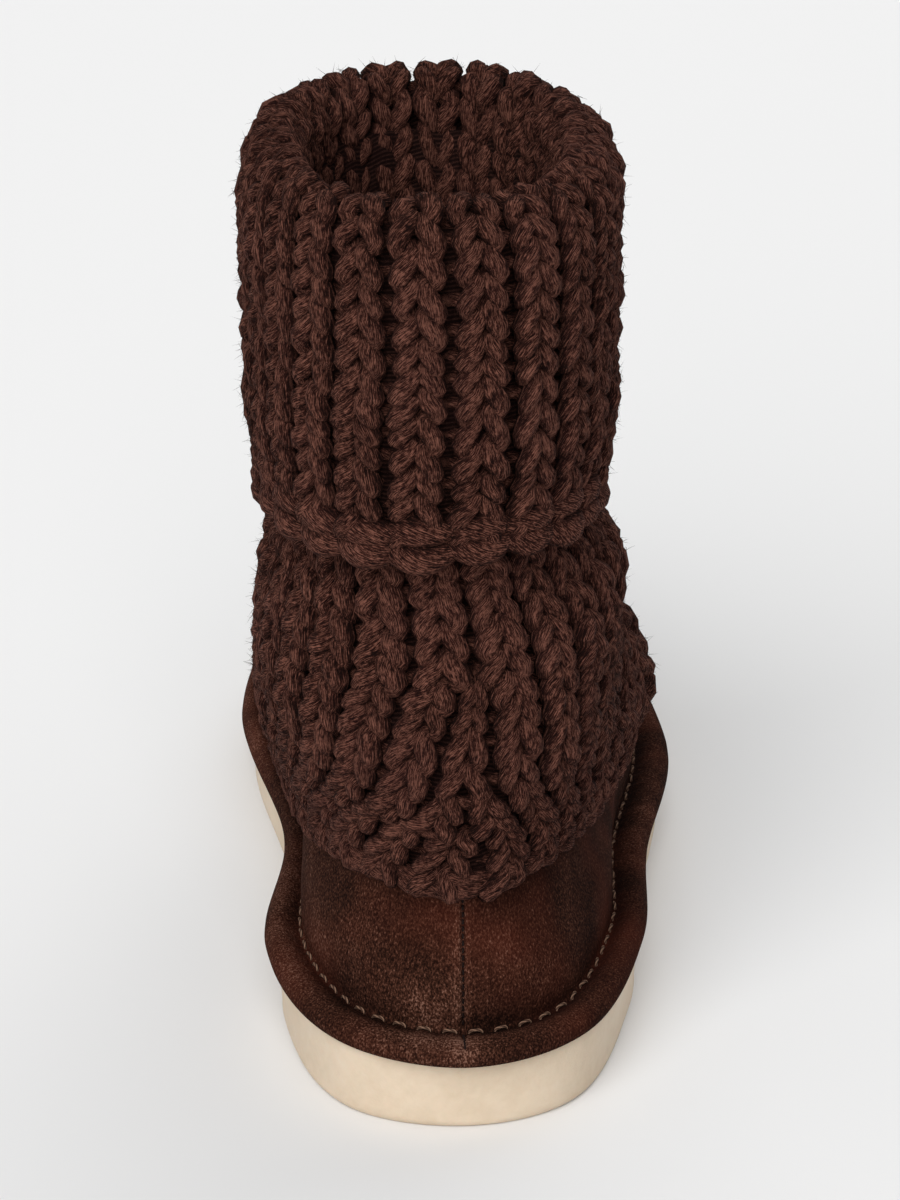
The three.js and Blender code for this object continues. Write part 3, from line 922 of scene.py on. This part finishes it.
def pile_lining():
    """The curled lining of the suede's wall, its back sunk a little into the suede."""
    turns = np.arange(PILE_COLUMNS)[:, None] / PILE_COLUMNS
    turns, heights = np.broadcast_arrays(turns, np.linspace(0.03, 0.985, PILE_ROWS)[None])
    face = wall(turns, heights)
    normals = grid_normals(face)
    curls = np.random.default_rng(47).uniform(-PILE_DEPTH, PILE_DEPTH, face.shape[:2])
    inner = face - normals * (UPPER_WALL + PILE_START + curls)[..., None]
    outer = face - normals * (UPPER_WALL - PILE_SUNK)
    return lofted("pile_lining", np.concatenate([outer, inner[:, ::-1]], 1))


lining = pile_lining()

# %% The pile on the insole
PILE_GRAIN = 0.0016
CURL_SIZE = 0.004
CURL_DEPTH = 0.0012


def pile_insole():
    """A copy of the insole's solid, remeshed evenly and pushed about as the curls are."""
    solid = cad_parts["insole"]
    thing = bpy.data.objects.new("pile_insole", solid.data.copy())
    bpy.context.scene.collection.objects.link(thing)
    bpy.ops.object.select_all(action="DESELECT")
    thing.select_set(True)
    bpy.context.view_layer.objects.active = thing
    bpy.ops.object.mode_set(mode="EDIT")
    bpy.ops.mesh.select_all(action="SELECT")
    bpy.ops.mesh.remove_doubles(threshold=0.0001)
    bpy.ops.object.mode_set(mode="OBJECT")
    even = thing.modifiers.new("even", "REMESH")
    even.mode = "VOXEL"
    even.voxel_size = PILE_GRAIN
    curls = thing.modifiers.new("curls", "DISPLACE")
    curls.texture = bpy.data.textures.new("curls", "CLOUDS")
    curls.texture.noise_scale = CURL_SIZE
    curls.strength = CURL_DEPTH
    for modifier in ("even", "curls"):
        bpy.ops.object.modifier_apply(modifier=modifier)
    bpy.ops.object.shade_smooth()
    print("pile_insole has", len(thing.data.polygons), "faces")
    return thing


insole = pile_insole()

# %% [markdown]
# The crepe sole is a slab cut by hand: its side is nearly upright and softly uneven, its lower edge
# is worn round, and its underside is flat except where the toe lifts. A bevelled and displaced slab
# would come close, but a loft through a few rings keeps the sole's own outline exactly, so each ring
# is given by how far it lies inside that outline and how high over the underside or under the top.

# %% The crepe sole
SOLE_COLUMN_COUNT = 360
LOW_RING = (SOLE_DRAFT, "under", 3.2, 0.2)
HIGH_RING = (0, "top", -0.8, 0.15)
# inset from the sole's outline, the face that the height is measured from, height, unevenness
UNDER_RINGS = [
    (7, "under", 0, 0),
    (3.5, "under", 0, 0),
    (SOLE_DRAFT + SOLE_EDGE_ROUND, "under", 0, 0),
    (SOLE_DRAFT + 1.1, "under", 0.2, 0),
    (SOLE_DRAFT + 0.4, "under", 0.9, 0.1),
    (SOLE_DRAFT + 0.1, "under", 1.9, 0.15),
    LOW_RING,
]
TOP_RINGS = [HIGH_RING, (0.3, "top", -0.1, 0.1), (1.0, "top", 0, 0)]
SIDE_SHARES = (0.2, 0.4, 0.6, 0.8)

sole_turns = np.arange(SOLE_COLUMN_COUNT)[:, None] / SOLE_COLUMN_COUNT
sole_overhang = station("overhang", sole_turns)
sole_uneven = smooth_noise(51, 14)


def sole_ring(inset, face, lift, sway):
    """One ring round the sole."""
    uneven = sway * sole_uneven(sole_turns, lift / 7)
    points = inset_edge(sole_turns, sole_overhang + inset + uneven)
    points[..., 2] = sole_height(face, points[..., 1]) + lift
    return points


low, high = sole_ring(*LOW_RING), sole_ring(*HIGH_RING)
side_rings = [low * (1 - share) + high * share for share in SIDE_SHARES]
rings = [sole_ring(*row) for row in UNDER_RINGS] + side_rings + [sole_ring(*row) for row in TOP_RINGS]
sole_points = np.concatenate(rings, 1)
sole = lofted("crepe_sole", sole_points, close_up=False)


def close_strips(thing, columns, rows):
    """Closes the first and the last ring of a lofted slab with faces that run across the foot."""
    mesh = bmesh.new()
    mesh.from_mesh(thing.data)
    mesh.verts.ensure_lookup_table()
    for row, turned in ((0, False), (rows - 1, True)):
        ring = [mesh.verts[c * rows + row] for c in range(columns)]
        for k in range(columns // 2):
            near, far = (columns - k) % columns, columns - k - 1
            corners = [ring[k], ring[near], ring[far], ring[k + 1]]
            unique = list(dict.fromkeys(corners))
            if len(unique) > 2:
                face = mesh.faces.new(unique[::-1] if turned else unique)
                face.smooth = True
    bmesh.ops.recalc_face_normals(mesh, faces=mesh.faces)
    mesh.to_mesh(thing.data)
    mesh.free()
    print(thing.name, "closed, with", len(thing.data.polygons), "faces")


close_strips(sole, *sole_points.shape[:2])

# %% [markdown]
# The thread that holds the edge is a light two-ply cord. It shows as one long stitch after another in
# the groove, each end diving into its hole. A dashed line in the suede's colour would look flat from
# the side, so each stitch is a short bowed strand of its own.

# %% The stitching round the edge
THREAD_POINTS = 12
THREAD_SIDES = 8
THREAD_RADIUS = 0.35
THREAD_REACH = 0.29  # of the pitch, to each side of a stitch's middle
THREAD_BOW = 0.7
THREAD_DIVE = 0.5
THREAD_SUNK = 0.45
THREAD_SLANT = 0.18
THREAD_INSET = 0.1


def edge_thread():
    """The light stitches in the groove of the turned-out edge."""
    random = np.random.default_rng(61)
    middles = (np.arange(EDGE_STITCHES) + 0.5) / EDGE_STITCHES
    middles = middles + random.normal(0, 0.00015, EDGE_STITCHES)
    place = np.linspace(-1, 1, THREAD_POINTS)
    turns = turns_at(middles[:, None] + place[None] * THREAD_REACH / EDGE_STITCHES)
    slant = random.normal(0, THREAD_SLANT, (EDGE_STITCHES, 1))
    inset = station("rim", turns) - THREAD_INSET + slant * place
    bow = THREAD_BOW * np.sqrt(np.clip(1 - place**2, 0, 1)) - THREAD_DIVE * place**8
    paths = over_sole(turns, inset, FLANGE_THICK - GROOVE_DEPTH - THREAD_SUNK + bow)
    outward = np.broadcast_to(UPRIGHT, paths.shape)
    taper = THREAD_RADIUS * (1 - 0.3 * place**6)
    return make_mesh("edge_thread", [strands(paths, outward, taper, THREAD_SIDES, False)])


thread = edge_thread()

# %% The heel's seam
BACKWARDS = np.array([0.0, -1.0, 0.0])
SEAM_POINTS = 6
SEAM_SIDES = 6
SEAM_RADIUS = 0.22
SEAM_BOW = 0.3
SEAM_SUNK = 0.35
UP_WALL = np.arange(0.03, 1.0, 0.045)  # shares of the wall's height
UP_WALL_REACH = 0.014
ACROSS_EDGE = np.arange(1.4, 8.6, 1.75)  # mm in from the turned edge
ACROSS_EDGE_REACH = 0.55


def seam_thread():
    """The close dark stitches of the heel's seam, up the wall and across the turned edge."""
    place = np.linspace(-1, 1, SEAM_POINTS)
    heights = UP_WALL[:, None] + place * UP_WALL_REACH
    on_wall = wall(np.zeros_like(heights), heights)
    insets = ACROSS_EDGE[:, None] + place * ACROSS_EDGE_REACH
    slope = 1.1 * np.clip(insets - 5.5, 0, 3) / 3
    on_edge = over_sole(np.zeros_like(insets), insets, FLANGE_THICK - 0.25 - slope)
    bow = SEAM_BOW * (1 - place**2)[:, None] - SEAM_SUNK
    paths = np.concatenate([on_wall + BACKWARDS * bow, on_edge + UPRIGHT * bow])
    directions = [np.broadcast_to(BACKWARDS, on_wall.shape), np.broadcast_to(UPRIGHT, on_edge.shape)]
    strand = strands(paths, np.concatenate(directions), SEAM_RADIUS, SEAM_SIDES, False)
    return make_mesh("seam_thread", [strand])


seam_stitches = seam_thread()

# %% [markdown]
# A material is a net of nodes, and its maths is far easier to read as a sum than as wires. A small
# class wraps one output, so that adding two of them adds a Math node.

# %% Materials: the socket class


class Value:
    """One output of a material's nodes. Sums and products of values add Math nodes."""

    def __init__(self, tree, output):
        self.tree, self.output = tree, output

    def math(self, operation, *others, clamp=False):
        """A Math node that takes this value first."""
        node = self.tree.nodes.new("ShaderNodeMath")
        node.operation = operation
        node.use_clamp = clamp
        for entry, value in zip(node.inputs, (self, *others)):
            feed(self.tree, entry, value)
        return Value(self.tree, node.outputs[0])

    def __add__(self, other):
        return self.math("ADD", other)

    __radd__ = __add__

    def __mul__(self, other):
        return self.math("MULTIPLY", other)

    __rmul__ = __mul__

    def __sub__(self, other):
        return self.math("SUBTRACT", other)

    def __rsub__(self, other):
        return self * -1.0 + other

    def __truediv__(self, other):
        return self.math("DIVIDE", other)

    def __rtruediv__(self, other):
        return self.math("POWER", -1.0) * other

    def sine(self):
        return self.math("SINE")

    def clamped(self):
        return self.math("ADD", 0.0, clamp=True)


def feed(tree, entry, value):
    """Links a value to a node's input, or sets the input where the value is a plain one."""
    if isinstance(value, Value):
        tree.links.new(value.output, entry)
    elif isinstance(value, (tuple, list)) and len(value) == 3 and entry.type == "RGBA":
        entry.default_value = (*value, 1.0)
    else:
        entry.default_value = value


# %% [markdown]
# Everything else that a material needs is a node with some sockets set. A second class makes any node
# from its name, and has a short method for each kind that comes back: a place on the piece, a noise, a
# ramp from tones to colours, a bump. Building the nets by hand in the editor would be quicker for one
# material, but five of them share these steps.

# %% Materials: the finish class


class Finish:
    """A material with one principled shader, and one method for any other node."""

    def __init__(self, name):
        self.material = bpy.data.materials.new(name)
        self.material.use_nodes = True
        self.tree = self.material.node_tree
        self.shader = self.tree.nodes["Principled BSDF"]

    def node(self, kind, out=0, settings=(), **inputs):
        """Any node, by its type, its settings and its inputs by name, or by number as i0, i1 and so on."""
        node = self.tree.nodes.new("ShaderNode" + kind)
        for key, value in dict(settings).items():
            if key == "stops":
                ramp = node.color_ramp
                while len(ramp.elements) < len(value):
                    ramp.elements.new(0.5)
                for element, (place, colour) in zip(ramp.elements, value):
                    element.position = place
                    element.color = (*colour, 1.0)
            else:
                setattr(node, key, value)
        for key, value in inputs.items():
            by_number = key[0] == "i" and key[1:].isdigit()
            feed(self.tree, node.inputs[int(key[1:]) if by_number else key.replace("_", " ")], value)
        return Value(self.tree, node.outputs[out])

    def place(self):
        """Places on the piece, in metres."""
        return self.node("TexCoord", out="Object")

    def pattern(self):
        """The two numbers of the piece's own pattern, in mm or turns."""
        split = self.node("SeparateXYZ", Vector=self.node("TexCoord", out="UV")).output.node
        return Value(self.tree, split.outputs[0]), Value(self.tree, split.outputs[1])

    def noise(self, where, scale, detail=2.0, roughness=0.5):
        """Noise from 0 to 1, about 0.5, with a scale in waves to the metre."""
        return self.node("TexNoise", Vector=where, Scale=scale, Detail=detail, Roughness=roughness)

    def ramp(self, tone, *stops):
        """A colour for each tone, from stops of a place and a colour."""
        return self.node("ValToRGB", settings={"stops": stops}, Fac=tone)

    def mix(self, share, first, second):
        """The first colour at share 0, the second at share 1."""
        return self.node("Mix", out=2, settings={"data_type": "RGBA"}, i0=share, i6=first, i7=second)

    def hill(self, value, middle, width):
        """1 where the value is at the middle, falling smoothly to 0 about a width away."""
        reach = (value - middle) / width
        square = reach * reach
        return 1 / (1 + square * square * 1.5 + square)

    def bump(self, height, distance, strength=1.0, under=None):
        """A fine relief, its full height a distance in metres, over another one if there is one."""
        extra = {} if under is None else {"Normal": under}
        return self.node("Bump", Height=height, Distance=distance, Strength=strength, **extra)

    def shade(self, **values):
        """Sets the shader's inputs and hands back the material."""
        for key, value in values.items():
            feed(self.tree, self.shader.inputs[key.replace("_", " ")], value)
        return self.material


def srgb(*levels):
    """A colour as a picture gives it, 0 to 255, as linear light."""
    shares = [level / 255 for level in levels]
    return tuple(x / 12.92 if x <= 0.04045 else ((x + 0.055) / 1.055) ** 2.4 for x in shares)


# %% [markdown]
# Wool: three plies twist round the strand, and fine fibres run with them. The pattern is drawn along the
# strand's own length and round it, so it follows every loop. A noise laid straight through space is simpler,
# but its grain would cut across the strands and make the knit look carved. The side of each strand that
# faces out is painted a little lighter and the side that faces in a little darker: a painted highlight on
# the crowns and painted shade between the strands.

# %% Wool
PLY_TWIST = 0.03  # turns for each mm
FIBRE_STRETCH = 0.7
FIBRE_FINENESS = 14.0
WINE_RED = srgb(52, 27, 29)


def wool(name, dark, middle, light):
    """Wool in three tones, with the dye's redder patches, a painted highlight on the strands' crowns and
    painted shade on their inner sides.
    """
    finish = Finish(name)
    length, turn = finish.pattern()
    twist = (turn + length * PLY_TWIST) * math.tau
    across, over = twist.sine(), (twist + math.pi / 2).sine()
    lie = finish.node(
        "CombineXYZ", X=length * FIBRE_STRETCH, Y=across * FIBRE_FINENESS, Z=over * FIBRE_FINENESS
    )
    fibres = finish.noise(lie, 1.0, 3.0, 0.7)
    where = finish.place()
    fluff = finish.noise(where, 900.0, 3.0, 0.7)
    clumps = finish.noise(where, 240.0, 3.0, 0.6)
    patches = finish.noise(where, 40.0)
    # painted highlight and shade: +1 on the strand's outward side, -1 on its inward side
    crown = (turn * math.tau).sine()
    tone = (fibres - 0.5) * 5.2 + (fluff - 0.5) * 1.5 + (clumps - 0.5) * 0.6 + (patches - 0.5) * 0.5
    tone = tone + crown * 0.5
    colour = finish.ramp(tone, (0.0, dark), (0.5, middle), (1.0, light))
    colour = finish.mix((patches * 2.6 - 1.1).clamped() * 0.25, colour, WINE_RED)
    bumps = finish.bump(fibres * 1.1 + fluff * 0.7 + clumps * 0.4, 0.0012, 0.9)
    finish.shade(Base_Color=colour, Roughness=0.93, Normal=bumps, Specular_IOR_Level=0.06)
    return finish.shade(Sheen_Weight=0.05, Sheen_Roughness=0.55, Sheen_Tint=(*light, 1.0))


yarn = wool("plied_wool", srgb(20, 8, 6), srgb(65, 34, 27), srgb(140, 92, 77))
# the same wool in darker tones: painted shade for the knit's backing
painted_shade_wool = wool("wool_in_shade", srgb(26, 12, 10), srgb(54, 31, 26), srgb(88, 58, 49))

# %% [markdown]
# Suede: a short nap, brushed in patches, a little redder and lighter where it is handled and along the
# turned edge. Painted shade darkens it, nearly to black, in the stitching's groove, on the outer side and
# under the knit, and a painted highlight runs along the crest of the rolled edge. The worn places and this
# painted light and shade are told by the piece's own pattern, which holds the way round from the heel and
# the way up the face. Painting them by hand is the other way; sums of small hills can be moved and made
# again at any size.

# %% Suede
SUEDE_TONES = [
    (0.1, srgb(22, 10, 7)),
    (0.45, srgb(50, 28, 20)),
    (0.7, srgb(76, 46, 35)),
    (1.0, srgb(122, 88, 74)),
]
RED_BROWN = srgb(84, 36, 24)


def suede_wear_and_shade(finish):
    """How much lighter each place is than plain suede: from rubbing, with a painted highlight on the rolled
    crest and painted shade in the groove, on the outer side and under the knit.
    """
    from_heel, up_face = finish.pattern()
    rubbed_seam = finish.hill(from_heel, -0.4, 2.0)
    rubbed_heel = finish.hill(from_heel, -7.0, 9.0) * finish.hill(up_face, 4.0, 12.0)
    rubbed_edge = finish.hill(from_heel, -3.0, 7.0) * finish.hill(up_face, -7.5, 4.5)
    # painted highlight along the crest of the rolled edge
    painted_crest_highlight = finish.hill(up_face, -6.5, 2.6)
    # painted shade in the stitching's groove
    groove = finish.hill(up_face, -0.6, 2.0)
    # painted shade, darker towards the outer side
    painted_outer_side_shade = (from_heel * 0.02).clamped() * finish.hill(from_heel, 40.0, 60.0)
    # painted shade, darker towards the top under the knit
    painted_shade_under_knit = ((up_face - 14.0) * 0.04).clamped()
    # rubbing at the seam, heel and edge, plus the painted highlight on the crest
    rubbed_and_lit = rubbed_seam * 0.26 + rubbed_heel * 0.36 + rubbed_edge * 0.2 + painted_crest_highlight * 0.1
    return rubbed_and_lit - groove * 0.22 - painted_outer_side_shade * 0.22 - painted_shade_under_knit * 0.14


def suede_finish():
    """Brushed suede."""
    finish = Finish("brushed_suede")
    where = finish.place()
    flat_nap = finish.node("Mapping", Vector=where, Scale=(1.0, 1.0, 0.6))
    nap = finish.noise(flat_nap, 2400.0, 2.0, 0.6)
    brushed = finish.noise(where, 60.0, 4.0, 0.62)
    patches = finish.noise(where, 17.0)
    redder = finish.noise(where, 31.0)
    tone = (nap - 0.5) * 2.1 + (brushed - 0.5) * 0.8 + (patches - 0.5) * 0.9 + 0.42
    colour = finish.ramp(tone + suede_wear_and_shade(finish), *SUEDE_TONES)
    colour = finish.mix((redder * 2.4 - 1.05).clamped() * 0.45, colour, RED_BROWN)
    bumps = finish.bump(nap, 0.0004, 0.7, finish.bump(brushed, 0.0012, 0.3))
    return finish.shade(Base_Color=colour, Roughness=1.0, Normal=bumps, Specular_IOR_Level=0.03)


# %% [markdown]
# Crepe rubber: cream, slightly clouded, with a fine grain and a dull shine. A little light goes under
# its surface, which one value of the shader gives, and that keeps the slab from looking like plaster.

# %% Crepe
CREPE_TONES = [(0.25, srgb(196, 176, 151)), (0.55, srgb(210, 192, 169)), (0.8, srgb(217, 201, 180))]


def crepe_finish():
    """Cream crepe rubber."""
    finish = Finish("cream_crepe")
    where = finish.place()
    grain = finish.noise(where, 420.0, 4.0, 0.6)
    clouds = finish.noise(where, 28.0, 3.0, 0.55)
    colour = finish.ramp((grain - 0.5) * 0.35 + clouds, *CREPE_TONES)
    bumps = finish.bump(grain, 0.0005, 0.35, finish.bump(clouds, 0.0015, 0.3))
    finish.shade(Base_Color=colour, Roughness=0.72, Normal=bumps, Specular_IOR_Level=0.3)
    return finish.shade(Subsurface_Weight=0.08, Subsurface_Scale=0.004)


# %% [markdown]
# Thread: two plies that wind round each other. Modelling both would cost twice the faces on a cord under a
# millimetre thick, so one strand carries them as a winding stripe of tone and height: its darker tone is
# painted shade in the groove between the plies, and its lighter tone a painted highlight on them.

# %% Thread
THREAD_TWIST = 0.55  # turns for each mm


def thread_finish(name, dark, light):
    """Two-ply thread in two tones: painted shade between the plies and a painted highlight on them."""
    finish = Finish(name)
    length, turn = finish.pattern()
    # the same stripe sets the bump and the tone: painted shade in its low part, painted highlight on its
    # high part
    ply = ((turn * 2 + length * THREAD_TWIST) * math.tau).sine() * 0.5 + 0.5
    bumps = finish.bump(ply, 0.0004, 0.8)
    return finish.shade(
        Base_Color=finish.mix(ply, dark, light), Roughness=0.8, Normal=bumps, Specular_IOR_Level=0.15
    )


# %% [markdown]
# Pile: short curled hair, with a painted highlight on the tips of the curls and painted shade between them,
# both following the bump's noise. It is seen only down the shaft, so a noise for tone and bump does it, and
# real hairs would add nothing.

# %% Pile
PILE_TONES = [(0.3, srgb(60, 44, 34)), (0.6, srgb(120, 96, 76)), (0.85, srgb(160, 136, 112))]


def pile_finish():
    """Curled pile, with painted light on the curls' tips and painted shade between them."""
    finish = Finish("curled_pile")
    where = finish.place()
    curls = finish.noise(where, 420.0, 4.0, 0.7)
    clouds = finish.noise(where, 60.0)
    # painted light and shade: the curls' noise that raises the bump also lightens the tips and darkens
    # between them
    colour = finish.ramp(curls * 0.7 + clouds * 0.3, *PILE_TONES)
    bumps = finish.bump(curls, 0.003)
    return finish.shade(Base_Color=colour, Roughness=0.95, Normal=bumps, Sheen_Weight=0.3)


# %% [markdown]
# Each piece now gets its finish. Four pieces take the place of the four solids, and the others are laid on
# them.

# %% Dressing
def dress(thing, material, slot, *replaced):
    """Gives a piece its finish and hides the solid that it replaces; the slot is not used."""
    thing.data.materials.clear()
    thing.data.materials.append(material)
    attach(thing, "root")
    if replaced:
        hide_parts(*replaced)


edge_cord = thread_finish("edge_thread", srgb(64, 43, 33), srgb(134, 103, 84))
seam_cord = thread_finish("seam_thread", srgb(20, 9, 7), srgb(34, 18, 13))
pile = pile_finish()
dress(suede, suede_finish(), "suede", "upper")
dress(sole, crepe_finish(), "crepe", "outsole")
dress(thread, edge_cord, "suede")
dress(seam_stitches, seam_cord, "suede")
dress(shaft_knit, yarn, "knit", "knit_shaft")
for knitted in (cuff_knit, hem_chain, lip_chain, shaft_fuzz, cuff_fuzz, shaft_nap, cuff_nap):
    dress(knitted, yarn, "knit")
# the backs of the knit wear the darker wool, painted shade
for back in (shaft_back, cuff_back):
    dress(back, painted_shade_wool, "knit")
dress(insole, pile, "pile", "insole")
dress(lining, pile, "pile")
print("finishes:", sorted(material.name for material in bpy.data.materials if material.users))

# %% [markdown]
# The boot stands in a product studio: a plain pale floor, a broad soft light from behind it and above,
# on the camera's side, a weaker one from the front, and an even pale surround that fills the shadows.
# Lamps with a size would need placing by eye, while a sun with a wide angle gives the same soft edge
# at any distance, so two suns are enough.

# %% Floor
FLOOR_SIZE = 80.0  # metres
FLOOR_TONE = srgb(233, 233, 233)

bpy.ops.mesh.primitive_plane_add(size=FLOOR_SIZE, location=(0, 0, 0))
floor = bpy.context.object
floor.name = "studio_floor"
floor.data.materials.append(Finish("pale_floor").shade(Base_Color=FLOOR_TONE, Roughness=0.9))


# %% Light
SURROUND_TONE = srgb(228, 228, 228)
SURROUND_STRENGTH = 0.43


def soft_light(name, comes_from, power, spread):
    """A far, broad light, given by the direction that it comes from and the angle that it fills."""
    bpy.ops.object.light_add(type="SUN", location=comes_from)
    light = bpy.context.object
    light.name = name
    light.data.angle = math.radians(spread)
    light.data.energy = power
    light.rotation_euler = Vector(comes_from).to_track_quat("Z", "Y").to_euler()
    print(name, "of strength", power, "fills", spread, "degrees")


soft_light("key_light", (0.62, 2.0, 1.6), 2.85, 50)
soft_light("front_light", (-0.6, -1.6, 1.7), 0.9, 60)
world = bpy.data.worlds.new("studio")
world.use_nodes = True
background = world.node_tree.nodes["Background"]
background.inputs["Color"].default_value = (*SURROUND_TONE, 1.0)
background.inputs["Strength"].default_value = SURROUND_STRENGTH
bpy.context.scene.world = world
